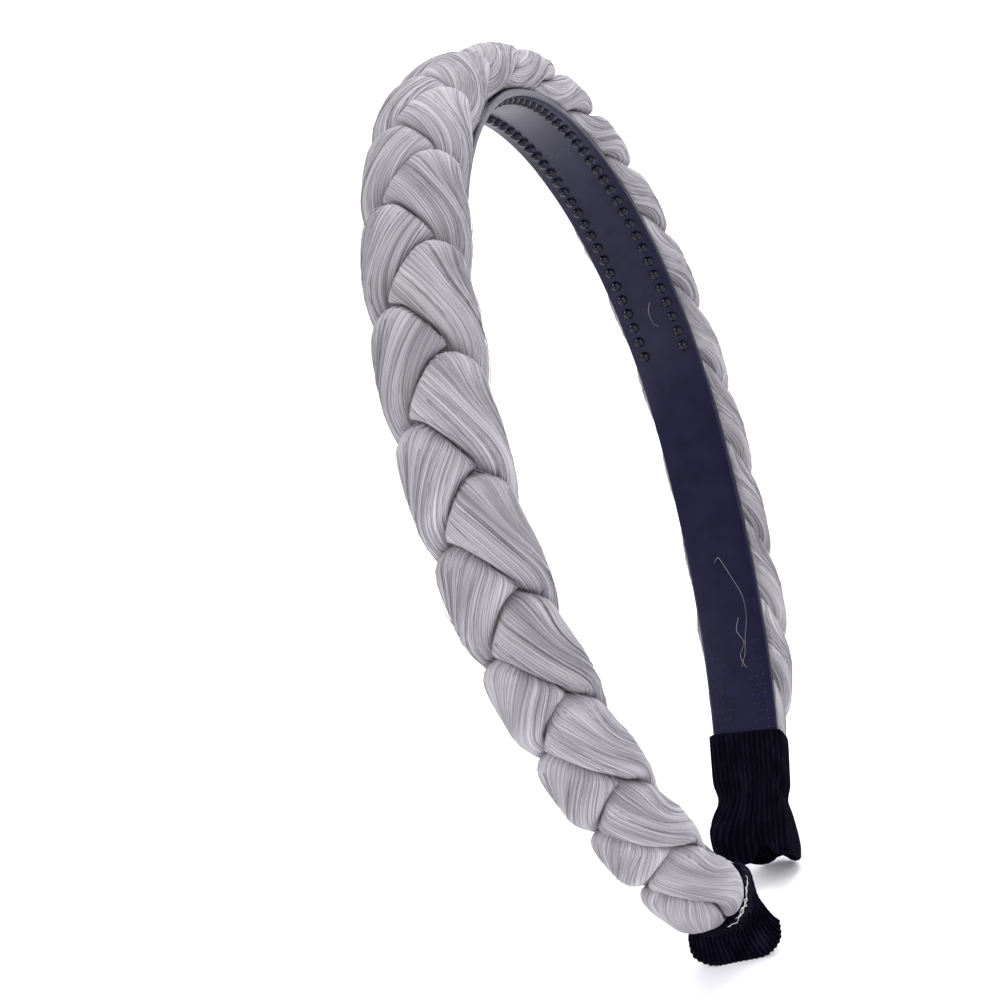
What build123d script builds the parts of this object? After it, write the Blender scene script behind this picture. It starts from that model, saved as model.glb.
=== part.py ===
from build123d import *
import os
from math import atan, cos, degrees, hypot, pi, radians, sin

# A headband covered with a plait of synthetic hair, standing on the knitted sleeves at its two ends.
# Lengths are in millimetres. Z is up, X runs from one foot to the other and Y runs across the band.
# The origin is on the floor, midway between the two feet.
# A station is a distance along the band's inner face, counted from the crown. It is positive down
# the leg at +X, which is called near, and negative down the leg at -X, which is called far.

# The arch: arcs of the band's inner face that follow on from the crown down to either foot
crown_radius = 61.4
crown_turn = 57.3
side_radius = 57.9
side_turn = 50.9
leg_radius = 107.4
droop_radius = 21.0
leg_length = 73.2

# The band: a springy plastic strip with two rows of moulded nubs on its inner face
band_end_inset = 2.0
band_width = 12.4
band_thickness = 1.4
band_edge_round = 0.4
band_end_round = 5.6
nub_radius = 1.05
nub_tip_radius = 0.5
nub_height = 0.8
nub_root = 0.5
nub_pitch = 3.0
nub_count = 64
nub_first_station = -94.0
nub_row_spacing = 7.8

# The plait: three strands over the band's outer face, a little longer than the band at either end
braid_clearance = 0.35
plait_half_width = 8.4
plait_middle = 3.7
plait_rise = 4.8
plait_fall = 4.9
plait_squareness = 2.4
plait_blend = 8.0
strand_swing = 3.8
strand_rise = 2.0
strand_middle = 3.45
strand_half_width = 5.4
strand_half_thickness = 2.8
strand_lean = 22.0
strand_flare = 0.26
strand_flare_turn = 120.0
strand_squareness = 2.2
strand_separation = 0.18
strand_sides = 12
strand_spans = 107

# The sleeves: ribbed knitting, open at both ends, pulled over the ends of the band and the plait
sleeve_hold_near = 5.0
sleeve_length_near = 17.0
sleeve_hold_far = 14.0
sleeve_length_far = 25.0
sole_press = 1.05
sleeve_width = 14.9
sleeve_wall = 0.9
sleeve_slack = 0.5
sleeve_over = 8.0
rib_depth = 0.3
rib_count = 40
bore_sides = 40

# Where the plait's crossings lie. A lobe is the distance between two crossings on the same side.
# station: share of the arch's half length. lobes: lobes passed since the crown.
BRAID_PACE = (
    ("station", "lobes"),
    (-1.000, -12.29),
    (-0.076, -0.92),
    (0.158, 1.86),
    (0.618, 7.18),
    (1.000, 11.06),
)

# The plait's outline along the band.
# station: share of the arch's half length. wide and high: shares of the full width and height.
# aside: how far the plait lies to +Y, as a share of the band's width.
BRAID_FORM = (
    ("station", "wide", "high", "aside"),
    (-1.000, 0.50, 0.34, 0.00),
    (-0.975, 0.54, 0.38, 0.00),
    (-0.945, 0.58, 0.42, 0.00),
    (-0.915, 0.64, 0.48, 0.00),
    (-0.875, 0.86, 0.84, 0.02),
    (-0.800, 1.00, 1.00, 0.05),
    (-0.540, 1.00, 1.00, 0.05),
    (-0.210, 1.00, 1.00, 0.02),
    (0.000, 1.00, 1.00, -0.05),
    (0.270, 1.00, 1.00, 0.02),
    (0.540, 1.00, 1.00, 0.10),
    (0.800, 0.98, 0.98, 0.15),
    (0.870, 0.96, 0.94, 0.14),
    (0.910, 0.92, 0.88, 0.09),
    (0.935, 0.78, 0.72, 0.03),
    (0.965, 0.66, 0.58, 0.00),
    (1.000, 0.50, 0.42, 0.00),
)

# The sleeves' outlines. along: share of the sleeve's length, from its rim to its loose mouth.
# wide: share of the sleeve's width. lift: how far the inner side is pushed in towards the outer side,
# as a share of the sleeve's width. over: how far the outer side stands off the band's inner face, as a
# share of its height at the far rim. aside: shift to +Y as a share of the sleeve's width.
# slant: how far the row runs down the leg for each length it runs to -Y.
# dent: a dimple in the middle of the inner side, as a share of the sleeve's width.
SLEEVE_FORM_NEAR = (
    ("along", "wide", "lift", "over", "aside", "slant", "dent"),
    (0.00, 1.08, 0.00, 1.18, 0.02, 0.50, 0.00),
    (0.20, 1.00, -0.01, 1.13, 0.01, 0.44, 0.00),
    (0.38, 0.88, 0.02, 1.06, -0.02, 0.34, 0.00),
    (0.54, 0.82, 0.22, 1.12, -0.04, 0.22, 0.01),
    (0.70, 0.88, 0.40, 1.32, -0.03, 0.10, 0.02),
    (0.85, 1.02, 0.52, 1.60, -0.01, 0.00, 0.02),
    (1.00, 1.12, 0.54, 1.60, 0.01, 0.00, 0.02),
)
SLEEVE_FORM_FAR = (
    ("along", "wide", "lift", "over", "aside", "slant", "dent"),
    (0.00, 1.00, 0.00, 1.00, 0.00, 0.00, 0.00),
    (0.22, 0.99, 0.00, 0.98, 0.00, 0.00, 0.00),
    (0.38, 0.98, 0.00, 0.92, 0.00, 0.00, 0.00),
    (0.51, 0.88, 0.00, 0.88, 0.01, 0.00, 0.00),
    (0.64, 1.01, -0.02, 1.08, 0.01, 0.00, 0.07),
    (0.77, 1.09, -0.03, 1.38, 0.01, 0.00, 0.12),
    (0.90, 1.10, -0.02, 1.68, 0.01, 0.00, 0.16),
    (1.00, 1.06, -0.01, 1.68, 0.01, 0.00, 0.18),
)

crown_length = radians(crown_turn) * crown_radius
side_length = radians(side_turn) * side_radius
arch_half_length = crown_length + side_length + leg_length
arcs = (
    (crown_radius, crown_length),
    (side_radius, side_length),
    (leg_radius, leg_length),
    (-droop_radius, arch_half_length),
)
band_half_length = arch_half_length - band_end_inset
sleeve_start_near = band_half_length - sleeve_hold_near
sleeve_start_far = band_half_length - sleeve_hold_far
braid_floor = band_thickness + braid_clearance


def arch_below_crown(station):
    """X of the band's inner face at a station, its depth below the crown and how far it has turned."""
    side = 1 if station >= 0 else -1
    left, turned, x, depth = abs(station), 0.0, 0.0, 0.0
    for radius, length in arcs:
        step = min(left, length)
        after = turned + step / radius
        x += radius * (sin(after) - sin(turned))
        depth += radius * (cos(turned) - cos(after))
        left, turned = left - step, after
    return side * x, depth, side * turned


def arch(station):
    """X and Z of the band's inner face at a station, and how far the arch has turned there."""
    x, depth, turned = arch_below_crown(station)
    return x, crown_height - depth, turned


def across(station):
    """The plane across the band at a station: its x runs along Y and its y points off the outer face."""
    x, z, turned = arch(station)
    return Plane(origin=(x, 0, z), x_dir=(0, 1, 0), z_dir=(cos(turned), 0, -sin(turned)))


def on_arch(station, height):
    """X and Z of the point that lies above the band's inner face by a height."""
    x, z, turned = arch(station)
    return x + height * sin(turned), z + height * cos(turned)


def row_between(rows, place, smooth=True):
    """The values of a table's rows at a place of its first column, eased from row to row."""
    for low, high in zip(rows, rows[1:]):
        if place <= high[0]:
            break
    share = min(max((place - low[0]) / (high[0] - low[0]), 0.0), 1.0)
    if smooth:
        share = share * share * (3 - 2 * share)
    return [a + (b - a) * share for a, b in zip(low[1:], high[1:])]


def lobes_at(station):
    """Lobes of the plait between the crown and a station."""
    return row_between(BRAID_PACE[1:], station / arch_half_length, smooth=False)[0]


def strand_place(strand, lobes):
    """Where a strand crosses: sideways, up, its lean, and its half width and half thickness."""
    turn = 2 * pi * (lobes + strand) / 3
    return (
        strand_swing * sin(turn),
        strand_middle + strand_rise * sin(2 * turn),
        radians(strand_lean) * cos(turn),
        strand_half_width * (1 + strand_flare * cos(2 * turn - radians(strand_flare_turn))),
        strand_half_thickness,
    )


def fullness(place, aside, up):
    """How far a point is from a strand's middle: 0 there and 1 on the strand's own outline."""
    middle, rise, lean, half_width, half_thickness = place
    along = (aside - middle) * cos(lean) + (up - rise) * sin(lean)
    through = (up - rise) * cos(lean) - (aside - middle) * sin(lean)
    wide = (abs(along) / half_width) ** strand_squareness
    thick = (abs(through) / half_thickness) ** strand_squareness
    return (wide + thick) ** (1 / strand_squareness)


def roundness(aside, up):
    """How far a point is from the plait's middle: 1 on the smooth outline that the strands share."""
    height = (up - plait_middle) / (plait_rise if up > plait_middle else plait_fall)
    wide, high = abs(aside / plait_half_width), abs(height)
    return (wide**plait_squareness + high**plait_squareness) ** (1 / plait_squareness)


def strand_ray(place, angle):
    """The step from a strand's middle to its own outline at an angle."""
    lean, half_width, half_thickness = place[2:]
    along, through = half_width * cos(angle), half_thickness * sin(angle)
    return along * cos(lean) - through * sin(lean), along * sin(lean) + through * cos(lean)


def strand_reach(strand, lobes, angle):
    """The share of that step that a strand can fill before it meets its neighbours or the band."""
    places = [strand_place(s, lobes) for s in range(3)]
    own = places.pop(strand)
    step_aside, step_up = strand_ray(own, angle)
    low, high = 0.0, 1.0
    for _ in range(14):
        share = (low + high) / 2
        aside, up = own[0] + step_aside * share, own[1] + step_up * share
        own_fullness = fullness(own, aside, up)
        free = up >= 0 and own_fullness**plait_blend + roundness(aside, up) ** plait_blend <= 1
        for place in places:
            free = free and own_fullness + strand_separation <= fullness(place, aside, up)
        low, high = (share, high) if free else (low, share)
    return low


def strand_outline(strand, station):
    """A strand's section at a station, clear of the strands beside it and a little way along."""
    wide, high, aside = row_between(BRAID_FORM[1:], station / arch_half_length)
    lobes = lobes_at(station)
    span = (lobes_at(station + 1) - lobes_at(station - 1)) * arch_half_length / strand_spans
    nearby = [lobes + span * share for share in (-0.6, -0.3, 0.0, 0.3, 0.6)]
    place = strand_place(strand, lobes)
    points = []
    for side in range(strand_sides):
        angle = 2 * pi * side / strand_sides
        reach = min(strand_reach(strand, passed, angle) for passed in nearby)
        step_aside, step_up = strand_ray(place, angle)
        points.append(
            (
                band_width * aside + wide * (place[0] + step_aside * reach),
                braid_floor + high * (place[1] + step_up * reach),
            )
        )
    return points


def evenly(points, count):
    """Points spread evenly along a closed outline."""
    closed = points + points[:1]
    steps = [hypot(b[0] - a[0], b[1] - a[1]) for a, b in zip(closed, closed[1:])]
    spread, passed, index = [], 0.0, 0
    for number in range(count):
        wanted = sum(steps) * number / count
        while passed + steps[index] < wanted:
            passed += steps[index]
            index += 1
        share = (wanted - passed) / steps[index]
        a, b = closed[index], closed[index + 1]
        spread.append((a[0] + (b[0] - a[0]) * share, a[1] + (b[1] - a[1]) * share))
    return spread


def sleeve_outline(row, inset, count, depth):
    """A sleeve's section before the floor presses it. Every second point is a groove of that depth."""
    wide, lift, over, aside, slant, dent = row
    half = wide * sleeve_width / 2 - inset
    middle = band_thickness + lift * sleeve_width
    below = band_thickness + sleeve_slack + sleeve_wall - inset
    above = over * sleeve_over - middle - inset
    outline = []
    for number in range(240):
        angle = 2 * pi * number / 240
        power = 2 / 2.4 if sin(angle) > 0 else 2 / 10.0
        across_share = abs(cos(angle)) ** power * (1 if cos(angle) > 0 else -1)
        up_share = abs(sin(angle)) ** power
        up = middle + above * up_share if sin(angle) > 0 else middle - below * up_share
        if sin(angle) < 0:
            up += dent * sleeve_width * (1 - across_share**2) ** 2
        outline.append((aside * sleeve_width + half * across_share, up))
    centre, centre_up = aside * sleeve_width, middle + (above - below) / 2
    points = []
    for number, (y, up) in enumerate(evenly(outline, count)):
        share = 1 - depth * (number % 2) / hypot(y - centre, up - centre_up)
        points.append((centre + (y - centre) * share, centre_up + (up - centre_up) * share))
    return points


def sleeve_depth(side, start, length, form):
    """How far below the crown a sleeve would reach if no floor pressed it."""
    depths = []
    for along, *row in form[1:]:
        depth, turned = arch_below_crown(side * (start + along * length))[1:]
        for y, up in sleeve_outline(row, 0.0, 2 * rib_count, rib_depth):
            depths.append(depth - up * cos(turned) - row[4] * y * sin(turned))
    return max(depths)


def on_floor(station, points, slant, inset):
    """A sleeve's section, flat where it meets the floor."""
    height, turned = arch(station)[1:]
    flat = []
    for y, up in points:
        highest = (height + slant * y * sin(turned)) / -cos(turned) - inset
        flat.append((y, min(up, highest)))
    return flat


def section(station, points, slant=0.0):
    """A closed outline as a face across the band at a station, slanting as the knitting does."""
    plane = Plane(across(station).location * Rotation(0, degrees(atan(slant)), 0))
    corners = [plane.from_local_coords((y * hypot(1, slant), up, 0)) for y, up in points]
    return Face(Wire.make_polygon(corners, close=True))


# Both sleeves stand on the floor, and it presses the shorter one flat by the sole's press
SLEEVES = (
    ("sleeve_near", 1, sleeve_start_near, sleeve_length_near, SLEEVE_FORM_NEAR),
    ("sleeve_far", -1, sleeve_start_far, sleeve_length_far, SLEEVE_FORM_FAR),
)
crown_height = min(sleeve_depth(*sleeve[1:]) for sleeve in SLEEVES) - sole_press

# The band: the arch's profile seen from the side, given its width, then the nubs
bends = (0.0, arcs[0][1], arcs[0][1] + arcs[1][1], band_half_length)
stops = [-s for s in reversed(bends[1:])] + list(bends)
with BuildPart() as band:
    with BuildSketch(Plane.XZ):
        with BuildLine():
            for height in (0.0, band_thickness):
                for start, end in zip(stops, stops[1:]):
                    middle = (start + end) / 2
                    ThreePointArc(on_arch(start, height), on_arch(middle, height), on_arch(end, height))
            for station in (stops[0], stops[-1]):
                Line(on_arch(station, 0.0), on_arch(station, band_thickness))
        make_face()
    extrude(amount=band_width / 2, both=True)
    fillet(band.edges().filter_by(lambda e: abs(e.length - band_thickness) < 1e-4), band_end_round)
    fillet(band.edges().filter_by(lambda e: e.length > band_thickness + 0.01), band_edge_round)
    nub_places = []
    for number in range(nub_count):
        station = nub_first_station + nub_pitch * number
        x, z = on_arch(station, nub_root)
        turned = arch(station)[2]
        for row in (-1, 1):
            root = (x, row * nub_row_spacing / 2, z)
            nub_places.append(Plane(root, x_dir=(0, 1, 0), z_dir=(-sin(turned), 0, -cos(turned))).location)
    with Locations(*nub_places):
        from_root = (Align.CENTER, Align.CENTER, Align.MIN)
        Cone(nub_radius, nub_tip_radius, nub_root + nub_height, align=from_root)
band.part.label = "band"

# The three strands of the plait
braid_stations = [arch_half_length * (2 * n / strand_spans - 1) for n in range(strand_spans + 1)]
strands = []
for number in range(3):
    with BuildPart() as strand:
        loft([section(s, strand_outline(number, s)) for s in braid_stations], ruled=True)
    strand.part.label = f"strand_{number + 1}"
    strands.append(strand)

# The two knitted sleeves
sleeves = []
for name, side, start, length, form in SLEEVES:
    outer, bore = [], []
    for along, *row in form[1:]:
        station, slant = side * (start + along * length), row[4]
        knit = sleeve_outline(row, 0.0, 2 * rib_count, rib_depth)
        hollow = sleeve_outline(row, sleeve_wall, bore_sides, 0.0)
        outer.append(section(station, on_floor(station, knit, slant, 0.0), slant))
        bore.append(section(station, on_floor(station, hollow, slant, sleeve_wall), slant))
    with BuildPart() as sleeve:
        loft(outer, ruled=True)
        loft(bore, ruled=True, mode=Mode.SUBTRACT)
    sleeve.part.label = name
    sleeves.append(sleeve)

os.makedirs("parts", exist_ok=True)
for piece in [band, *strands, *sleeves]:
    export_step(piece.part, f"parts/{piece.part.label}.step")
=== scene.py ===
import math
import bpy
import numpy as np
from mathutils import Matrix, Vector


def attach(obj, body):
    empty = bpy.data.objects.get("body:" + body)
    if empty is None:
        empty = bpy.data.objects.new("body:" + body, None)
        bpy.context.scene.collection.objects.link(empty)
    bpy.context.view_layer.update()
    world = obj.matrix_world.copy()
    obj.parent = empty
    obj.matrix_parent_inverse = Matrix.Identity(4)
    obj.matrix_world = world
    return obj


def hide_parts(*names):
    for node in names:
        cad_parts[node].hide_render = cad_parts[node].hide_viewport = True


# A headband covered with a plait of silver-grey synthetic hair, standing on its two knitted sleeves.
# Lengths in the tables and functions are millimetres, turned into metres where a mesh is made.
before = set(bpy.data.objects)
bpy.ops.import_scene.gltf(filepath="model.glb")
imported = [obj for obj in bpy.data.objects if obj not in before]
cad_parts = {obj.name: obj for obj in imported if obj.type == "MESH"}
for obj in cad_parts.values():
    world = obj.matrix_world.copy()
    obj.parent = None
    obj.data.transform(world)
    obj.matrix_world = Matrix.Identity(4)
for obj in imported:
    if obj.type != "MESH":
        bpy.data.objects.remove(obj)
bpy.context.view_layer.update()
MM = 0.001

# The arch that every piece follows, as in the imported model
CROWN_HEIGHT = 146.9
BAND_WIDTH = 12.4
BAND_THICKNESS = 1.4
FIRST = math.radians(57.3) * 61.4
SECOND = math.radians(50.9) * 57.9
LEG = 73.2
ARCH_END = FIRST + SECOND + LEG
BAND_END = ARCH_END - 2.0
ARCS = ((61.4, FIRST), (57.9, SECOND), (107.4, LEG), (-21.0, ARCH_END))


def arch(station):
    """X, Z and turn of the band's inner face at each station."""
    station = np.asarray(station, float)
    side = np.where(station >= 0, 1.0, -1.0)
    left = np.abs(station)
    turned = np.zeros_like(left)
    x = np.zeros_like(left)
    z = np.full_like(left, CROWN_HEIGHT)
    for radius, length in ARCS:
        step = np.minimum(left, length)
        after = turned + step / radius
        x = x + radius * (np.sin(after) - np.sin(turned))
        z = z - radius * (np.cos(turned) - np.cos(after))
        left = left - step
        turned = after
    return side * x, z, side * turned


def placed(station, across, up, slant=0.0):
    """Points of the frame, in metres, from station, distance along Y and height over the inner face."""
    x, z, turned = arch(station)
    return np.stack(
        [
            x + up * np.sin(turned) - slant * across * np.cos(turned),
            across + 0 * x,
            z + up * np.cos(turned) + slant * across * np.sin(turned),
        ],
        -1,
    ) * MM


def curved(rows, x):
    """Columns of a table at x, on a smooth curve through the rows."""
    rows = np.array(rows, float)
    slopes = np.gradient(rows[:, 1:], rows[:, 0], axis=0)
    at = np.clip(np.searchsorted(rows[:, 0], x, side="right") - 1, 0, len(rows) - 2)
    width = rows[at + 1, 0] - rows[at, 0]
    t = np.clip((x - rows[at, 0]) / width, 0, 1)
    found = []
    for c in range(rows.shape[1] - 1):
        a, b = rows[at, c + 1], rows[at + 1, c + 1]
        ma, mb = slopes[at, c] * width, slopes[at + 1, c] * width
        found.append(
            (2 * t**3 - 3 * t**2 + 1) * a + (t**3 - 2 * t**2 + t) * ma
            + (3 * t**2 - 2 * t**3) * b + (t**3 - t**2) * mb
        )
    return found


def mesh_piece(name, places, quads, material, uv=None, tris=None, nodes=()):
    """A new piece on the frame's one body. uv has one pair per corner, quads first."""
    mesh = bpy.data.meshes.new(name)
    places = np.ascontiguousarray(places.reshape(-1, 3), dtype=np.float32)
    quads = np.asarray(quads, dtype=np.int32).reshape(-1, 4)
    tris = np.asarray([] if tris is None else tris, dtype=np.int32).reshape(-1, 3)
    mesh.vertices.add(len(places))
    mesh.vertices.foreach_set("co", places.ravel())
    corners = np.concatenate([quads.ravel(), tris.ravel()])
    mesh.loops.add(len(corners))
    mesh.loops.foreach_set("vertex_index", corners)
    starts = np.concatenate([np.arange(len(quads)) * 4, len(quads) * 4 + np.arange(len(tris)) * 3])
    totals = np.concatenate([np.full(len(quads), 4), np.full(len(tris), 3)])
    mesh.polygons.add(len(starts))
    mesh.polygons.foreach_set("loop_start", starts.astype(np.int32))
    mesh.polygons.foreach_set("loop_total", totals.astype(np.int32))
    mesh.polygons.foreach_set("use_smooth", np.ones(len(starts), bool))
    if uv is not None:
        layer = mesh.uv_layers.new(name="OFBake")
        layer.uv.foreach_set("vector", np.ascontiguousarray(uv, dtype=np.float32).ravel())
    mesh.update(calc_edges=True)
    mesh.validate()
    piece = bpy.data.objects.new(name, mesh)
    bpy.context.scene.collection.objects.link(piece)
    piece.data.materials.append(material)
    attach(piece, "root")
    if nodes:
        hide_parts(*nodes)
    return piece


def grid_quads(rows, columns, wraps, first=0):
    """Faces of a grid of points, row after row. A grid that wraps joins its last column to its first."""
    i = np.arange(rows - 1)[:, None]
    j = np.arange(columns if wraps else columns - 1)[None, :]
    nxt = (j + 1) % columns
    return first + np.stack(
        [i * columns + j, i * columns + nxt, (i + 1) * columns + nxt, (i + 1) * columns + j], -1
    ).reshape(-1, 4)


def grid_uv(u, v_edges):
    """A pair per corner for grid_quads: u per row, v_edges per column edge."""
    a, b = np.meshgrid(u[:-1], v_edges[:-1], indexing="ij")
    c, d = np.meshgrid(u[1:], v_edges[1:], indexing="ij")
    corners = ((a, b), (a, d), (c, d), (c, b))
    return np.stack([np.stack(corner, -1) for corner in corners], 2)


# Materials
def material(name):
    made = bpy.data.materials.new(name)
    made.use_nodes = True
    tree = made.node_tree
    tree.nodes.clear()
    out = tree.nodes.new("ShaderNodeOutputMaterial")
    shader = tree.nodes.new("ShaderNodeBsdfPrincipled")
    tree.links.new(shader.outputs[0], out.inputs["Surface"])
    return made, tree, shader


def math_node(tree, operation, a, b=None):
    node = tree.nodes.new("ShaderNodeMath")
    node.operation = operation
    for socket, value in zip(node.inputs, (a, b)):
        if isinstance(value, (int, float)):
            socket.default_value = value
        elif value is not None:
            tree.links.new(value, socket)
    return node.outputs[0]


def uv_parts(tree):
    """The two numbers of the map OFBake: share of the way along, share of the way round."""
    coords = tree.nodes.new("ShaderNodeUVMap")
    coords.uv_map = "OFBake"
    parts = tree.nodes.new("ShaderNodeSeparateXYZ")
    tree.links.new(coords.outputs[0], parts.inputs[0])
    return parts.outputs[0], parts.outputs[1]


def object_noise(tree, scale, detail=2.0):
    coords = tree.nodes.new("ShaderNodeTexCoord")
    noise = tree.nodes.new("ShaderNodeTexNoise")
    noise.inputs["Scale"].default_value = scale
    noise.inputs["Detail"].default_value = detail
    tree.links.new(coords.outputs["Object"], noise.inputs["Vector"])
    return noise.outputs[0]


def scaled_sum(tree, first, first_share, second, second_share):
    first = math_node(tree, "MULTIPLY", first, first_share)
    second = math_node(tree, "MULTIPLY", second, second_share)
    return math_node(tree, "ADD", first, second)


def add_bump(tree, shader, height, strength, distance):
    bump = tree.nodes.new("ShaderNodeBump")
    bump.inputs["Strength"].default_value = strength
    bump.inputs["Distance"].default_value = distance
    tree.links.new(height, bump.inputs["Height"])
    tree.links.new(bump.outputs[0], shader.inputs["Normal"])


def streaks(tree, u, v, along, across, seed, detail, rough):
    """Noise drawn out along the hair."""
    where = tree.nodes.new("ShaderNodeCombineXYZ")
    tree.links.new(math_node(tree, "MULTIPLY", u, along), where.inputs[0])
    tree.links.new(math_node(tree, "MULTIPLY", v, across), where.inputs[1])
    where.inputs[2].default_value = seed
    noise = tree.nodes.new("ShaderNodeTexNoise")
    noise.inputs["Scale"].default_value = 1.0
    noise.inputs["Detail"].default_value = detail
    noise.inputs["Roughness"].default_value = rough
    tree.links.new(where.outputs[0], noise.inputs["Vector"])
    return noise.outputs[0]


def ramp(tree, value, stops):
    node = tree.nodes.new("ShaderNodeValToRGB")
    tree.links.new(value, node.inputs[0])
    elements = node.color_ramp.elements
    while len(elements) < len(stops):
        elements.new(0.5)
    for element, (place, colour) in zip(elements, stops):
        element.position = place
        element.color = (*colour, 1.0)
    return node.outputs[0]


def hair_material(name, seed):
    made, tree, shader = material(name)
    u, v = uv_parts(tree)
    fine = streaks(tree, u, v, 12.0, 520.0, seed, 3.0, 0.7)
    locks = streaks(tree, u, v, 10.0, 150.0, seed + 3.1, 2.0, 0.55)
    broad = streaks(tree, u, v, 38.0, 9.0, seed + 7.7, 1.0, 0.5)
    mixed = scaled_sum(tree, fine, 0.70, locks, 0.30)
    uneven = math_node(tree, "MULTIPLY", math_node(tree, "SUBTRACT", broad, 0.5), 0.20)
    mixed = math_node(tree, "ADD", mixed, uneven)
    colour = ramp(
        tree,
        mixed,
        (
            (0.33, (0.040, 0.037, 0.046)),
            (0.42, (0.130, 0.122, 0.138)),
            (0.50, (0.268, 0.256, 0.272)),
            (0.58, (0.400, 0.385, 0.400)),
            (0.70, (0.640, 0.620, 0.635)),
        ),
    )
    tint = ramp(
        tree,
        streaks(tree, u, v, 7.0, 95.0, seed + 11.3, 1.0, 0.5),
        ((0.38, (0.955, 0.955, 1.0)), (0.56, (1.0, 0.98, 1.0)), (0.70, (1.0, 0.965, 0.92))),
    )
    blend = tree.nodes.new("ShaderNodeMix")
    blend.data_type = "RGBA"
    blend.blend_type = "MULTIPLY"
    blend.inputs[0].default_value = 1.0
    tree.links.new(colour, blend.inputs[6])
    tree.links.new(tint, blend.inputs[7])
    tree.links.new(blend.outputs[2], shader.inputs["Base Color"])
    rough = math_node(tree, "ADD", math_node(tree, "MULTIPLY", locks, 0.30), 0.34)
    tree.links.new(rough, shader.inputs["Roughness"])
    shader.inputs["Specular IOR Level"].default_value = 0.42
    add_bump(tree, shader, math_node(tree, "ADD", fine, locks), 0.75, 0.00016)
    return made


def plastic_material(name, dull, shine, dark, light):
    made, tree, shader = material(name)
    grain = object_noise(tree, 260.0, 4.0)
    waves = object_noise(tree, 34.0, 1.0)
    tree.links.new(ramp(tree, grain, ((0.3, dark), (0.7, light))), shader.inputs["Base Color"])
    rough = math_node(tree, "ADD", math_node(tree, "MULTIPLY", waves, 0.16), dull)
    tree.links.new(rough, shader.inputs["Roughness"])
    shader.inputs["Specular IOR Level"].default_value = shine
    height = math_node(tree, "ADD", waves, math_node(tree, "MULTIPLY", grain, 0.12))
    add_bump(tree, shader, height, 0.25, 0.0002)
    return made


# Ribs round a sleeve
RIBS = 42


def knit_material(name, seed, painted_crest_light_amount, depth):
    made, tree, shader = material(name)
    u, v = uv_parts(tree)
    yarn = streaks(tree, u, v, 210.0, 330.0, seed, 3.0, 0.6)
    worn = streaks(tree, u, v, 9.0, 14.0, seed + 5.0, 2.0, 0.5)
    mixed = scaled_sum(tree, yarn, 0.6, worn, 0.4)
    # Rib crests are painted lighter and the grooves between them darker, over the real rib relief: painted
    # light and shade.
    painted_crest_light = math_node(tree, "COSINE", math_node(tree, "MULTIPLY", v, 2 * math.pi * RIBS))
    mixed = math_node(tree, "ADD", mixed, math_node(tree, "MULTIPLY", painted_crest_light, painted_crest_light_amount))
    # depth scales the lighter stops down; below 1 it is painted shade, as on the far sleeve's copy of this
    # knit.
    shade = ramp(
        tree,
        mixed,
        (
            (0.36, (0.0003, 0.0003, 0.0010)),
            (0.50, (0.0012, 0.0010, 0.0034)),
            (0.62, (0.0080 * depth, 0.0068 * depth, 0.0190 * depth)),
            (0.76, (0.0170 * depth, 0.0150 * depth, 0.0340 * depth)),
        ),
    )
    tree.links.new(shade, shader.inputs["Base Color"])
    shader.inputs["Roughness"].default_value = 0.86
    shader.inputs["Specular IOR Level"].default_value = 0.02
    shader.inputs["Sheen Weight"].default_value = 0.006
    shader.inputs["Sheen Roughness"].default_value = 0.45
    shader.inputs["Sheen Tint"].default_value = (0.75, 0.73, 0.95, 1.0)
    add_bump(tree, shader, yarn, 0.8, 0.00018)
    return made


def thread_material(name):
    made, tree, shader = material(name)
    shade = ramp(tree, object_noise(tree, 900.0), ((0.3, (0.62, 0.61, 0.60)), (0.7, (0.90, 0.89, 0.87))))
    tree.links.new(shade, shader.inputs["Base Color"])
    shader.inputs["Roughness"].default_value = 0.38
    return made


HAIR = [hair_material(f"hair_{k + 1}", 10.0 * k + 1.7) for k in range(3)]
PLASTIC = plastic_material("satin_plastic", 0.16, 0.16, (0.0048, 0.0041, 0.0165), (0.0082, 0.0072, 0.0255))
# The nubs and dots are the band's own plastic; this copy's base colour is darker than the band's: painted
# shade.
NUB_GLOSS_PAINTED_SHADE = plastic_material("glossy_plastic_painted_shade", 0.02, 0.22, (0.0020, 0.0016, 0.0065), (0.0030, 0.0025, 0.0100))
# The far sleeve has the same knit as the near one; its copy is darker, with weaker crest light: painted shade.
KNIT = [knit_material("knit_near", 2.0, 0.075, 1.0), knit_material("knit_far_painted_shade", 19.0, 0.05, 0.6)]
THREAD = thread_material("binding_thread")

# The plait: lobes passed since the crown, by share of the arch's half length
PACE = (
    (-1.000, -12.29),
    (-0.076, -0.92),
    (0.158, 1.86),
    (0.618, 7.18),
    (0.830, 9.34),
    (0.855, 9.56),
    (0.878, 9.71),
    (0.900, 9.80),
    (0.925, 9.86),
    (0.950, 9.89),
    (1.000, 9.91),
)
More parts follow.
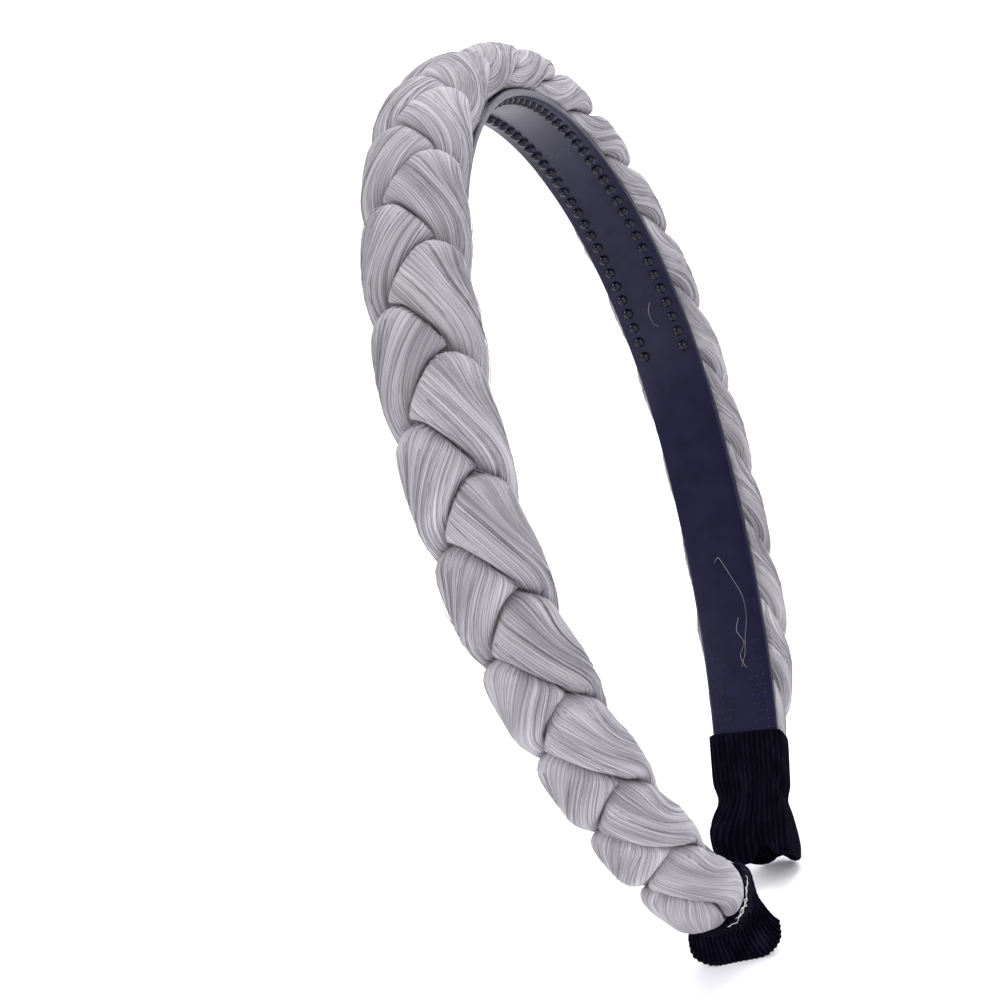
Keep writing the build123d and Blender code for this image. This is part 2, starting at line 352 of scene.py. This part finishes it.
# Its outline. share of the arch's half length, width, height, shift to +Y as a share of the band's width
FORM = (
    (-1.000, 0.57, 0.40, 0.00),
    (-0.975, 0.61, 0.44, 0.00),
    (-0.945, 0.68, 0.50, 0.00),
    (-0.915, 0.76, 0.60, 0.01),
    (-0.875, 0.94, 0.84, 0.02),
    (-0.800, 1.05, 0.99, 0.05),
    (-0.730, 1.04, 1.00, 0.05),
    (-0.540, 1.04, 1.00, 0.04),
    (-0.210, 1.03, 1.00, 0.00),
    (0.000, 1.06, 1.00, -0.06),
    (0.270, 1.07, 1.00, 0.02),
    (0.540, 1.01, 1.00, 0.12),
    (0.800, 0.99, 0.98, 0.17),
    (0.870, 1.01, 0.96, 0.15),
    (0.910, 1.00, 0.93, 0.10),
    (0.935, 0.96, 0.91, 0.04),
    (0.952, 0.91, 0.85, -0.02),
    (0.963, 0.86, 0.76, -0.05),
    (0.972, 0.82, 0.69, -0.05),
    (0.985, 0.70, 0.55, -0.05),
    (1.000, 0.55, 0.42, -0.05),
)
BRAID_FLOOR = BAND_THICKNESS + 0.35
# One strand: how it swings and rises round its middle height, and its own lens-shaped section
SWING, RISE, MIDDLE = 3.8, 2.0, 3.45
HALF_WIDTH, HALF_THICKNESS = 7.2, 4.1
LEAN = math.radians(22.0)
FLARE, FLARE_TURN = 0.26, math.radians(120.0)
SQUARE = 2.2
SEPARATION, CREASE = 0.02, 14.0
# The outline that the three strands share
PLAIT_HALF_WIDTH, PLAIT_MIDDLE, PLAIT_RISE, PLAIT_FALL = 8.05, 3.7, 5.0, 4.9
PLAIT_SQUARE, PLAIT_BLEND = 2.4, 8.0
# Before the near rim the strands swell, and from a little earlier the plait slants as the rim does
END_SWELL, SWELL_FROM = 1.7, 0.89
RIM_SLANT, SLANT_FROM = 0.34, 0.88
CHANGE_OVER = 0.06
# How far fibres turn towards the edge of their lobe
ROLL = 0.32


def lobes_at(station):
    return np.interp(np.asarray(station) / ARCH_END, *np.array(PACE).T)


def smooth(t):
    t = np.clip(t, 0, 1)
    return t * t * (3 - 2 * t)


def strand_turn(strand, station):
    return 2 * np.pi * (lobes_at(station) + strand) / 3


def strand_place(strand, station):
    """A strand's middle across and up, its lean, its half width and its half thickness."""
    turn = strand_turn(strand, station)
    return (
        SWING * np.sin(turn),
        MIDDLE + RISE * np.sin(2 * turn),
        LEAN * np.cos(turn),
        HALF_WIDTH * (1 + FLARE * np.cos(2 * turn - FLARE_TURN)),
        HALF_THICKNESS + END_SWELL * smooth((station / ARCH_END - SWELL_FROM) / CHANGE_OVER),
    )


def fullness(place, across, up):
    """1 on the outline of a strand's own section, less inside it."""
    middle, rise, lean, half_width, half_thickness = place
    along = (across - middle) * np.cos(lean) + (up - rise) * np.sin(lean)
    through = (up - rise) * np.cos(lean) - (across - middle) * np.sin(lean)
    total = (np.abs(along) / half_width) ** SQUARE + (np.abs(through) / half_thickness) ** SQUARE
    return total ** (1 / SQUARE)


def roundness(across, up):
    """1 on the outline that the strands share, less inside it."""
    high = np.where(up > PLAIT_MIDDLE, (up - PLAIT_MIDDLE) / PLAIT_RISE, (PLAIT_MIDDLE - up) / PLAIT_FALL)
    return (np.abs(across / PLAIT_HALF_WIDTH) ** PLAIT_SQUARE + high**PLAIT_SQUARE) ** (1 / PLAIT_SQUARE)


def strand_surface(strand, station, angle):
    """Across and up of points of a strand's outline. station and angle are arrays of one shape."""
    places = [strand_place(s, station) for s in range(3)]
    own = places.pop(strand)
    middle, rise, lean, half_width, half_thickness = own
    along, through = half_width * np.cos(angle), half_thickness * np.sin(angle)
    step_across = along * np.cos(lean) - through * np.sin(lean)
    step_up = along * np.sin(lean) + through * np.cos(lean)
    low, high = np.zeros_like(along), np.ones_like(along)
    for _ in range(18):
        share = (low + high) / 2
        across, up = middle + step_across * share, rise + step_up * share
        own_fullness = fullness(own, across, up)
        total = own_fullness**PLAIT_BLEND + roundness(across, up) ** PLAIT_BLEND
        for place in places:
            other = np.maximum(fullness(place, across, up) - SEPARATION, 0.001)
            total = total + (own_fullness / other) ** CREASE
        free = (up >= 0) & (total <= 1)
        low, high = np.where(free, share, low), np.where(free, high, share)
    return middle + step_across * low, rise + step_up * low


def shaped(station, across, up):
    """The plait squeezed and shifted as its outline along the band asks, on the slant of the near rim."""
    slanted = station + RIM_SLANT * across * smooth((station / ARCH_END - SLANT_FROM) / CHANGE_OVER)
    wide, high, aside = curved(FORM, slanted / ARCH_END)
    return BAND_WIDTH * aside + wide * across, BRAID_FLOOR + high * up


def ridges(rng, angle_share, station, count, low, high, size):
    """Shallow ridges along the hair, which wander slowly round the strand."""
    total = np.zeros(np.broadcast(angle_share, station).shape)
    for _ in range(count):
        cycles = rng.integers(low, high)
        drift = rng.uniform(-1, 1, 4)
        wander = sum(drift[n] * np.sin(station / rng.uniform(9, 42) + rng.uniform(0, 6.28)) for n in range(3))
        total += np.sin(2 * np.pi * cycles * angle_share + rng.uniform(0, 6.28) + 1.6 * wander)
    return size * total / math.sqrt(count)


def rolled(strand, station, share):
    """Angle of a fibre: fibres run out over the edge of each lobe instead of round its end."""
    return -np.pi / 2 + 2 * np.pi * share - ROLL * np.sin(strand_turn(strand, station) - np.pi / 4)


def prism(line, out, radius):
    """Corners of a thin three-sided prism along a line, one row per point."""
    ahead = np.gradient(line, axis=0)
    ahead /= np.linalg.norm(ahead, axis=1, keepdims=True) + 1e-12
    sideways = np.cross(ahead, out)
    sideways /= np.linalg.norm(sideways, axis=1, keepdims=True) + 1e-12
    out = np.cross(sideways, ahead)
    radius = radius[:, None]
    return np.stack(
        [
            line + out * radius,
            line + (-0.5 * out + 0.87 * sideways) * radius,
            line + (-0.5 * out - 0.87 * sideways) * radius,
        ],
        1,
    )


# Stray hairs on the band's inner face. station, distance along Y, height off the inner face
STRAYS = (
    (
        (-135.5, -1.0, 0.2),
        (-134.8, 0.1, 0.9),
        (-136.5, 0.9, 0.7),
        (-139.5, 2.0, 0.4),
        (-143.0, 3.2, 0.3),
        (-147.0, 3.3, 0.3),
        (-151.0, 2.5, 0.5),
        (-154.0, 2.0, 0.4),
        (-156.5, 1.0, 0.3),
    ),
    ((-147.0, 1.8, 0.5), (-149.5, 1.2, 0.9), (-152.0, 2.1, 0.5), (-154.5, 1.1, 0.6), (-157.0, 1.9, 0.4)),
    ((-12, 0.4, 0.2), (-14, 1.3, 0.9), (-17, 1.6, 1.1), (-19, 0.7, 0.6), (-20, -0.4, 0.2)),
    ((-84, 0.9, 0.2), (-85.5, 0.2, 0.7), (-88, 0.1, 0.4), (-89, 0.8, 0.2)),
)

# Sizes of the hair's meshes. Radius of a stray hair
STRAND_ROWS, STRAND_COLUMNS = 600, 144
FIBRES, FIBRE_SEGMENTS = 420, 20
STRAY_POINTS, STRAY_RADIUS = 49, 0.04


def off_middle(strand, station, angle):
    """A strand's middle, the way from it to points of its outline, and how far they are."""
    across, up = strand_surface(strand, station, angle)
    middle, rise = strand_place(strand, station)[:2]
    off_across, off_up = across - middle, up - rise
    return middle, rise, off_across, off_up, np.hypot(off_across, off_up) + 1e-6


def strand_piece(strand):
    """A strand of combed hair that stands for the CAD strand."""
    rng = np.random.default_rng(31 + strand)
    rows, columns = STRAND_ROWS, STRAND_COLUMNS
    station = np.linspace(-ARCH_END, ARCH_END, rows)
    share = np.arange(columns) / columns
    s, v = np.meshgrid(station, share, indexing="ij")
    middle, rise, off_across, off_up, reach = off_middle(strand, s, rolled(strand, s, v))
    bump = ridges(rng, v, s, 8, 8, 20, 0.022) + ridges(rng, v, s, 12, 26, 52, 0.014)
    factor = 1 + (bump * np.clip(reach / 1.5, 0, 1) - 0.05) / reach
    places = placed(s, *shaped(s, middle + off_across * factor, rise + off_up * factor))
    verts, tris, tri_uv = [places.reshape(-1, 3)], [], []
    for number, row in enumerate((0, rows - 1)):
        ring = row * columns + np.arange(columns)
        hub = np.full(columns, rows * columns + number)
        verts.append(places[row].mean(0)[None])
        tris.append(np.stack([hub, *([ring, np.roll(ring, -1)][:: 1 if number else -1])], -1))
        tri_uv.append(np.tile([[float(number), 0.5]], (columns * 3, 1)))
    uv = grid_uv((station + ARCH_END) / (2 * ARCH_END), np.arange(columns + 1) / columns).reshape(-1, 2)
    mesh_piece(
        f"hair_strand_{strand + 1}",
        np.concatenate(verts),
        grid_quads(rows, columns, True),
        HAIR[strand],
        uv=np.concatenate([uv, *tri_uv]),
        tris=np.concatenate(tris),
        nodes=(f"strand_{strand + 1}",),
    )


def fibre_piece(strand):
    """Loose fibres over a strand, each a thin three-sided prism. The first piece has the stray hairs too."""
    rng = np.random.default_rng(71 + strand)
    verts, quads, uv, count = [], [], [], 0
    t = np.linspace(0, 1, FIBRE_SEGMENTS + 1)
    for _ in range(FIBRES):
        length = rng.uniform(16, 52)
        station = rng.uniform(-ARCH_END + 12, ARCH_END - 14 - length) + length * t
        wander = rng.normal(0, 0.012) * np.sin(t * rng.uniform(2, 7) + rng.uniform(0, 6.28))
        wander = wander + rng.normal(0, 0.008) * t
        angle = rolled(strand, station, np.clip(rng.uniform(0.06, 0.94) + wander, 0.02, 0.98))
        middle, rise, off_across, off_up, reach = off_middle(strand, station, angle)
        stray = rng.random() < 0.12
        lift = rng.uniform(-0.02, 0.06) + (rng.uniform(0.15, 0.55) * np.sin(np.pi * t) ** 2 if stray else 0)
        factor = 1 + lift / reach
        across, up = shaped(station, middle + off_across * factor, rise + off_up * factor)
        line = placed(station, across, up)
        out = placed(station, across + off_across / reach, up + off_up / reach) - line
        radius = rng.uniform(0.03, 0.06) * MM * np.clip(np.minimum(t, 1 - t) * 9, 0.12, 1)
        verts.append(prism(line, out, radius).reshape(-1, 3))
        quads.append(grid_quads(FIBRE_SEGMENTS + 1, 3, True, count))
        along = (station + ARCH_END) / (2 * ARCH_END)
        u = np.stack([along[:-1], along[:-1], along[1:], along[1:]], -1).repeat(3, axis=0).ravel()
        uv.append(np.column_stack([u, np.full(len(u), rng.uniform(0.03, 0.97))]))
        count += (FIBRE_SEGMENTS + 1) * 3
    for points in STRAYS if strand == 0 else ():
        knots = np.array(points, float)
        steps = np.linspace(0, len(knots) - 1, STRAY_POINTS)
        station, across, off = curved(np.column_stack([np.arange(len(knots)), knots]), steps)
        line = placed(station, across, -off)
        out = placed(station, across, -off - 1) - line
        verts.append(prism(line, out, np.full(STRAY_POINTS, STRAY_RADIUS * MM)).reshape(-1, 3))
        faces = grid_quads(STRAY_POINTS, 3, True, count)
        quads.append(faces)
        u = np.repeat(np.linspace(0.3, 0.34, len(faces)), 4)
        uv.append(np.column_stack([u, np.full(len(u), 0.4)]))
        count += STRAY_POINTS * 3
    mesh_piece(
        f"loose_hair_{strand + 1}",
        np.concatenate(verts),
        np.concatenate(quads),
        HAIR[strand],
        uv=np.concatenate(uv),
    )


for number in range(3):
    strand_piece(number)
    fibre_piece(number)

# The band: a rounded strip. Radius of its end corners and of its edges
END_ROUND, EDGE_ROUND = 5.6, 0.42
BAND_ROWS, END_ROWS, EDGE_POINTS = 330, 12, 6


def band_piece():
    near_end = BAND_END - END_ROUND * np.linspace(0, 1, END_ROWS) ** 2
    stations = np.unique(np.concatenate([np.linspace(-BAND_END, BAND_END, BAND_ROWS), near_end, -near_end]))
    end = BAND_END - np.abs(stations)
    corner = np.sqrt(np.clip(END_ROUND**2 - (END_ROUND - end) ** 2, 0, None))
    half = BAND_WIDTH / 2 + np.where(end < END_ROUND, corner - END_ROUND, 0)
    turn = np.linspace(0, np.pi / 2, EDGE_POINTS)
    sign_y, sign_h, in_y, in_h = [], [], [], []
    for side_y, side_h in ((1, -1), (1, 1), (-1, 1), (-1, -1)):
        turns = turn if side_y == side_h else turn[::-1]
        sign_y += [side_y] * EDGE_POINTS
        sign_h += [side_h] * EDGE_POINTS
        in_y += list(-EDGE_ROUND * (1 - np.cos(turns)))
        in_h += list(-EDGE_ROUND * (1 - np.sin(turns)))
    columns = len(sign_y)
    across = np.array(sign_y) * (half[:, None] + np.array(in_y))
    up = BAND_THICKNESS / 2 + np.array(sign_h) * (BAND_THICKNESS / 2 + np.array(in_h))
    s = np.repeat(stations[:, None], columns, 1)
    places = placed(s, across, np.broadcast_to(up, s.shape))
    verts, caps = [places.reshape(-1, 3)], []
    for number, row in enumerate((0, len(stations) - 1)):
        ring = row * columns + np.arange(columns)
        verts.append(places[row].mean(0)[None])
        hub = np.full(columns, len(stations) * columns + number)
        ahead = np.roll(ring, -1)
        caps.append(np.stack([hub, ring, ahead] if number else [hub, ahead, ring], -1))
    mesh_piece(
        "band_strip",
        np.concatenate(verts),
        grid_quads(len(stations), columns, True),
        PLASTIC,
        tris=np.concatenate(caps),
        nodes=("band",),
    )


band_piece()

# The nubs on the band's inner face, and the fine dots near both its ends
NUBS, FIRST_NUB, NUB_PITCH, NUB_ACROSS = 64, -94.0, 3.0, 3.9
NUB_RADIUS, NUB_HEIGHT = 1.02, 0.9
DOT_ROWS, FIRST_DOT, DOT_PITCH = 11, 152.0, 1.75
DOT_ACROSS = (-4.7, -3.5, -2.4, 2.4, 3.5, 4.7)
DOT_RADIUS, DOT_HEIGHT, DOT_SCATTER = 0.2, 0.14, 0.05
# How deep nubs and dots sit in the band
SUNK = 0.05


def nub_piece():
    verts, quads, caps, count = [], [], [], 0

    def dome(station, y, radius, height, rings, around):
        nonlocal count
        polar = np.linspace(0, np.pi / 2, rings + 1)[:-1]
        ways = np.linspace(0, 2 * np.pi, around, endpoint=False)
        p, q = np.meshgrid(polar, ways, indexing="ij")
        out = radius * np.cos(p)
        h = SUNK - height * np.sin(p)
        verts.append(placed(station + out * np.cos(q), y + out * np.sin(q), h).reshape(-1, 3))
        verts.append(placed(np.array([station]), np.array([y]), np.array([SUNK - height])))
        quads.append(grid_quads(rings, around, True, count)[:, ::-1])
        ring = count + (rings - 1) * around + np.arange(around)
        caps.append(np.stack([np.full(around, count + rings * around), np.roll(ring, -1), ring], -1))
        count += rings * around + 1

    for n in range(NUBS):
        for y in (-NUB_ACROSS, NUB_ACROSS):
            dome(FIRST_NUB + NUB_PITCH * n, y, NUB_RADIUS, NUB_HEIGHT, 8, 18)
    rng = np.random.default_rng(5)
    for side in (-1, 1):
        for n in range(DOT_ROWS):
            for y in DOT_ACROSS:
                station = side * (FIRST_DOT + DOT_PITCH * n) + rng.normal(0, DOT_SCATTER)
                dome(station, y + rng.normal(0, DOT_SCATTER), DOT_RADIUS, DOT_HEIGHT, 4, 8)
    mesh_piece(
        "band_nubs",
        np.concatenate(verts),
        np.concatenate(quads),
        NUB_GLOSS_PAINTED_SHADE,
        tris=np.concatenate(caps),
    )


nub_piece()

# The knitted sleeves
SLEEVE_WIDTH, SLEEVE_OVER, SLEEVE_SLACK, SLEEVE_WALL = 14.9, 8.0, 0.5, 0.9
NEAR_START, NEAR_LENGTH = BAND_END - 5.0, 17.0
FAR_START, FAR_LENGTH = BAND_END - 14.0, 25.0
# Size of a sleeve's mesh: columns in a rib, rows outside and inside
RIB_COLUMNS, OUTER_ROWS, INNER_ROWS = 6, 105, 30
# Relief of the knitting: length and depth of a stitch, depth of a rib, of slow waves and of the gathers
STITCH, STITCH_DEPTH, RIB_DEPTH, WAVE_DEPTH, GATHER_DEPTH = 0.82, 0.07, 0.34, 0.16, 0.20
# How far the round edges of the rim and the mouth stand out
EDGE_OUT = 0.45
# share of the length, width, lift of the inner side, outer side, shift to +Y, slant, dimple
NEAR = (
    (0.00, 1.04, 0.00, 1.14, -0.05, 0.34, 0.00),
    (0.20, 1.02, -0.01, 1.12, -0.06, 0.32, 0.00),
    (0.38, 0.94, 0.02, 1.06, -0.07, 0.27, 0.00),
    (0.54, 0.90, 0.22, 1.12, -0.07, 0.18, 0.01),
    (0.70, 0.97, 0.40, 1.32, -0.04, 0.08, 0.02),
    (0.85, 1.08, 0.52, 1.60, -0.01, 0.00, 0.02),
    (1.00, 1.12, 0.54, 1.60, 0.00, 0.00, 0.02),
)
FAR = (
    (0.00, 0.94, 0.00, 1.00, 0.01, 0.14, 0.00),
    (0.22, 0.93, 0.00, 0.98, 0.01, 0.10, 0.00),
    (0.38, 0.91, 0.00, 0.92, 0.01, 0.06, 0.00),
    (0.51, 0.81, 0.00, 0.88, 0.01, 0.02, 0.00),
    (0.64, 0.93, -0.02, 1.08, 0.00, 0.00, 0.07),
    (0.77, 1.00, -0.03, 1.38, -0.01, 0.00, 0.12),
    (0.90, 1.00, -0.02, 1.60, -0.01, 0.00, 0.16),
    (1.00, 0.96, -0.01, 1.60, -0.01, 0.00, 0.18),
)


def near_hem(along, y, up):
    """How far the near mouth's edge is drawn up along the leg."""
    return np.where(y > 0, 6.4, 4.8) * np.abs(y / 8.0) ** 2 * smooth((along - 0.30) / 0.70)


def far_hem(along, y, up):
    """The same for the far mouth, which has a notch beside its curled corner."""
    lift = 2.2 * smooth((-2.5 - y) / 4.5) + 3.4 * np.exp(-(((y - 1.4) / 1.8) ** 2))
    lift = lift + 2.2 * smooth((3.2 - y) / 3.5) * smooth((up - 2.5) / 5.0)
    return lift * smooth((along - 0.55) / 0.45)


def sleeve_rings(station, along, rows, inset, columns):
    """Rings of a sleeve, evenly divided, flat at the floor. Gives across, up, slant and outward way."""
    wide, lift, over, aside, slant, dent = [c[:, None] for c in curved(rows, along)]
    angle = np.linspace(0, 2 * np.pi, 721)[None, :-1]
    half = wide * SLEEVE_WIDTH / 2 - inset
    middle = BAND_THICKNESS + lift * SLEEVE_WIDTH
    below = BAND_THICKNESS + SLEEVE_SLACK + SLEEVE_WALL - inset
    above = over * SLEEVE_OVER - middle - inset
    power = np.where(np.sin(angle) > 0, 2 / 2.4, 2 / 7.0)
    share = np.abs(np.cos(angle)) ** power * np.sign(np.cos(angle))
    rise = np.abs(np.sin(angle)) ** power
    up = np.where(np.sin(angle) > 0, middle + above * rise, middle - below * rise)
    up = up + np.where(np.sin(angle) < 0, dent * SLEEVE_WIDTH * (1 - share**2) ** 2, 0)
    across = aside * SLEEVE_WIDTH + half * share
    up = up + 0 * across
    closed_y = np.concatenate([across, across[:, :1]], 1)
    closed_h = np.concatenate([up, up[:, :1]], 1)
    steps = np.hypot(np.diff(closed_y), np.diff(closed_h))
    passed = np.concatenate([np.zeros((len(steps), 1)), np.cumsum(steps, 1)], 1)
    wanted = np.arange(columns) / columns
    ring_y = np.stack([np.interp(wanted * p[-1], p, y) for p, y in zip(passed, closed_y)])
    ring_h = np.stack([np.interp(wanted * p[-1], p, h) for p, h in zip(passed, closed_h)])
    ahead_y = np.roll(ring_y, -1, 1) - np.roll(ring_y, 1, 1)
    ahead_h = np.roll(ring_h, -1, 1) - np.roll(ring_h, 1, 1)
    size = np.hypot(ahead_y, ahead_h) + 1e-9
    return ring_y, ring_h, slant, ahead_h / size, -ahead_y / size


def sleeve_piece(name, side, start, length, rows, node, mat, seed, pinch, hem):
    """A sleeve's closed wall, knitted in ribs and gathered at the pinch, a share of its length."""
    rng = np.random.default_rng(seed)
    columns = RIBS * RIB_COLUMNS
    share = np.arange(columns) / columns
    rings = []
    wave = [rng.uniform(0, 6.28) for _ in range(4)]
    for along, inset in ((np.linspace(1, 0, OUTER_ROWS), 0.0), (np.linspace(0, 1, INNER_ROWS), SLEEVE_WALL)):
        station = side * (start + along * length)
        y, h, slant, out_y, out_h = sleeve_rings(station, along, rows, inset, columns)
        around, down = 2 * np.pi * share[None, :], along[:, None]
        rib = 0.5 + 0.5 * np.cos(RIBS * around + 0.2 * np.pi * np.sin(5 * down + wave[0]))
        offset = 0.5 * (np.floor(RIBS * share)[None, :] % 2)
        stitch = np.abs(np.sin(np.pi * (down * length / STITCH + offset)))
        depth = RIB_DEPTH * (1 - rib**0.7) + STITCH_DEPTH * (1 - stitch) * rib
        soft = WAVE_DEPTH * np.sin(3 * around + wave[1] + 3 * down) * np.sin(4 * down + wave[2])
        gather = GATHER_DEPTH * np.cos(13 * around + wave[3]) * np.exp(-(((down - pinch) / 0.13) ** 2))
        away = (soft + gather) if inset == 0 else 0.3 * soft
        move = away - (depth if inset == 0 else -0.5 * depth + 0.1)
        y, h = y + out_y * move, h + out_h * move
        station = station[:, None] - side * hem(down, y, h)
        _, z, turned = arch(station)
        floor_h = (z + slant * y * np.sin(turned)) / -np.cos(turned) - inset
        h = np.minimum(h, floor_h - (0.06 * (1 - rib) if inset == 0 else 0))
        rings.append((station, y, h, slant, along))
    # Outside from the mouth to the rim, the rim's round edge, inside back to the mouth, the mouth's round edge
    (so, yo, ho, lo, ao), (si, yi, hi, li, ai) = rings
    parts, us = [placed(so, yo, ho, lo)], [0.62 * (1 - ao)]
    for outer_at, inner_at, way, us_at in ((-1, 0, -1, (0.62, 0.66)), (0, -1, 1, (0.98, 1.0))):
        made = []
        a_s, a_y, a_h = so[outer_at], yo[outer_at], ho[outer_at]
        b_s, b_y, b_h = si[inner_at], yi[inner_at], hi[inner_at]
        for turn in (0.25, 0.5, 0.75):
            mix = 0.5 - 0.5 * math.cos(math.pi * turn)
            push = EDGE_OUT * math.sin(math.pi * turn) * way
            station = a_s + (b_s - a_s) * mix + side * push
            made.append(placed(station, a_y + (b_y - a_y) * mix, a_h + (b_h - a_h) * mix, lo[outer_at]))
        made = np.array(made)
        made[..., 2] = np.maximum(made[..., 2], 0.0)
        if way == -1:
            parts += [made, placed(si, yi, hi, li)]
            us += [np.linspace(*us_at, 3), 0.66 + 0.32 * ai]
        else:
            parts.append(made[::-1])
            us.append(np.linspace(*us_at, 3))
    places = np.concatenate(parts)
    places[..., 2] = np.maximum(places[..., 2], 0.0)
    quads = grid_quads(len(places) + 1, columns, True) % (len(places) * columns)
    uv = grid_uv(np.concatenate([*us, [1.0]]), np.arange(columns + 1) / columns).reshape(-1, 4, 2)
    if side > 0:
        quads, uv = quads[:, ::-1], uv[:, ::-1]
    return mesh_piece(name, places, quads, mat, uv=uv.reshape(-1, 2), nodes=(node,))


near_sleeve = sleeve_piece(
    "knit_sleeve_near", 1, NEAR_START, NEAR_LENGTH, NEAR, "sleeve_near", KNIT[0], 3, 0.40, near_hem
)
far_sleeve = sleeve_piece(
    "knit_sleeve_far", -1, FAR_START, FAR_LENGTH, FAR, "sleeve_far", KNIT[1], 4, 0.51, far_hem
)

# The binding thread where the hair ends in the near sleeve's rim: where each loop starts and ends round
# the rim's points, and how far it sways. Two specks of glue on that rim: point and radius
RIM_POINTS, THREAD_POINTS, THREAD_RADIUS = 400, 90, 0.055
LOOPS = ((2, 66, 0.35), (10, 84, -0.3), (34, 60, 0.5))
SPECKS = ((168, 0.40), (176, 0.25))


def rim_bits():
    rng = np.random.default_rng(12)
    ring_y, ring_h, slant, out_y, out_h = sleeve_rings(NEAR_START, np.array([0.0]), NEAR, 0.0, RIM_POINTS)
    rim, slope = (ring_y[0], ring_h[0], out_y[0], out_h[0]), slant[0, 0]
    verts, quads, count = [], [], 0
    t = np.linspace(0, 1, THREAD_POINTS)
    for number, (first, last, sway) in enumerate(LOOPS):
        at = first + (last - first) * t
        y, h, oy, oh = [np.interp(at, np.arange(RIM_POINTS), values, period=RIM_POINTS) for values in rim]
        move = 0.32 + 0.16 * np.sin(t * 17 + number) + 0.08 * np.sin(t * 41)
        station = NEAR_START - 0.10 + sway * np.sin(t * 11 + 2 * number)
        line = placed(station, y + oy * move, h + oh * move, slope)
        out = placed(station, y + oy * (move + 1), h + oh * (move + 1), slope) - line
        verts.append(prism(line, out, np.full(THREAD_POINTS, THREAD_RADIUS * MM)).reshape(-1, 3))
        quads.append(grid_quads(THREAD_POINTS, 3, True, count))
        count += THREAD_POINTS * 3
    p, q = np.meshgrid(np.linspace(-1.5, 1.5, 9), np.linspace(0, 2 * np.pi, 14, endpoint=False), indexing="ij")
    ball = np.stack([np.cos(p) * np.cos(q), np.cos(p) * np.sin(q), 0.7 * np.sin(p)], -1)
    for at, radius in SPECKS:
        y, h, oy, oh = [values[at] for values in rim]
        hub = placed(NEAR_START - 0.3, y + 0.4 * oy, h + 0.4 * oh, slope)
        lumpy = ball * (1 + rng.normal(0, 0.06, p.shape)[..., None]) * radius * MM
        verts.append((hub + lumpy).reshape(-1, 3))
        quads.append(grid_quads(*p.shape, True, count))
        count += p.size
    mesh_piece("rim_thread", np.concatenate(verts), np.concatenate(quads), THREAD)


rim_bits()


# Stage: a white sweep that runs from the floor up behind the object
def stage_sweep():
    made, tree, shader = material("paper_sweep")
    shade = ramp(tree, object_noise(tree, 3.0), ((0.3, (0.90, 0.895, 0.93)), (0.7, (0.93, 0.925, 0.955))))
    tree.links.new(shade, shader.inputs["Base Color"])
    shader.inputs["Roughness"].default_value = 0.9
    profile = [(1.6, 0.0), (-0.5, 0.0)]
    for n in range(1, 25):
        turn = math.pi / 2 * n / 24
        profile.append((-0.5 - 0.5 * math.sin(turn), 0.5 - 0.5 * math.cos(turn)))
    profile.append((-1.0, 2.4))
    line = np.array(profile)
    y = np.array([-2.2, 2.2])
    places = np.stack(
        [np.repeat(line[:, :1], 2, 1), np.repeat(y[None], len(line), 0), np.repeat(line[:, 1:], 2, 1)], -1
    )
    mesh = bpy.data.meshes.new("sweep")
    mesh.from_pydata(places.reshape(-1, 3).tolist(), [], grid_quads(len(line), 2, False).tolist())
    mesh.polygons.foreach_set("use_smooth", np.ones(len(mesh.polygons), bool))
    mesh.materials.append(made)
    sweep = bpy.data.objects.new("sweep", mesh)
    bpy.context.scene.collection.objects.link(sweep)


stage_sweep()

# Camera: where the photograph was taken from
RIGHT = Vector((-0.25640262, 0.90380114, -0.34263857))
UP = Vector((-0.31795603, 0.25589342, 0.91291978))
FORWARD = Vector((-0.9127769, -0.34301902, -0.22175728))
camera = bpy.data.objects.new("camera", bpy.data.cameras.new("camera"))
bpy.context.scene.collection.objects.link(camera)
camera.matrix_world = Matrix(
    (
        (RIGHT.x, UP.x, -FORWARD.x, 406.62 * MM),
        (RIGHT.y, UP.y, -FORWARD.y, 134.36 * MM),
        (RIGHT.z, UP.z, -FORWARD.z, (35.43 + CROWN_HEIGHT) * MM),
        (0, 0, 0, 1),
    )
)
camera.data.lens = 94.47
camera.data.sensor_width = 36.0
camera.data.clip_end = 20.0
bpy.context.scene.camera = camera

# Light: a bright surround and five soft boxes
world = bpy.data.worlds.new("surround")
world.use_nodes = True
world.node_tree.nodes["Background"].inputs[0].default_value = (0.97, 0.97, 1.0, 1.0)
world.node_tree.nodes["Background"].inputs[1].default_value = 0.70
bpy.context.scene.world = world


def soft_box(name, place, target, size, power):
    light = bpy.data.lights.new(name, "AREA")
    light.shape = "RECTANGLE"
    light.size, light.size_y = size, size
    light.energy = power
    box = bpy.data.objects.new(name, light)
    bpy.context.scene.collection.objects.link(box)
    box.location = place
    aim = Vector(target) - Vector(place)
    box.rotation_euler = aim.to_track_quat("-Z", "Y").to_euler()


CENTRE = (0.0, 0.0, 0.08)
soft_box("key", (-0.42, 0.30, 1.00), CENTRE, 0.9, 12.0)
soft_box("fill", (0.80, 0.60, 0.45), CENTRE, 0.7, 5.0)
soft_box("right", (-0.15, 0.95, 0.45), CENTRE, 0.6, 1.8)
soft_box("left", (0.35, -0.95, 0.85), CENTRE, 0.6, 8.4)
soft_box("spark", (0.34, -0.30, 0.07), (-0.03, 0.0, 0.12), 0.08, 0.30)
bpy.context.scene.view_settings.view_transform = "Standard"
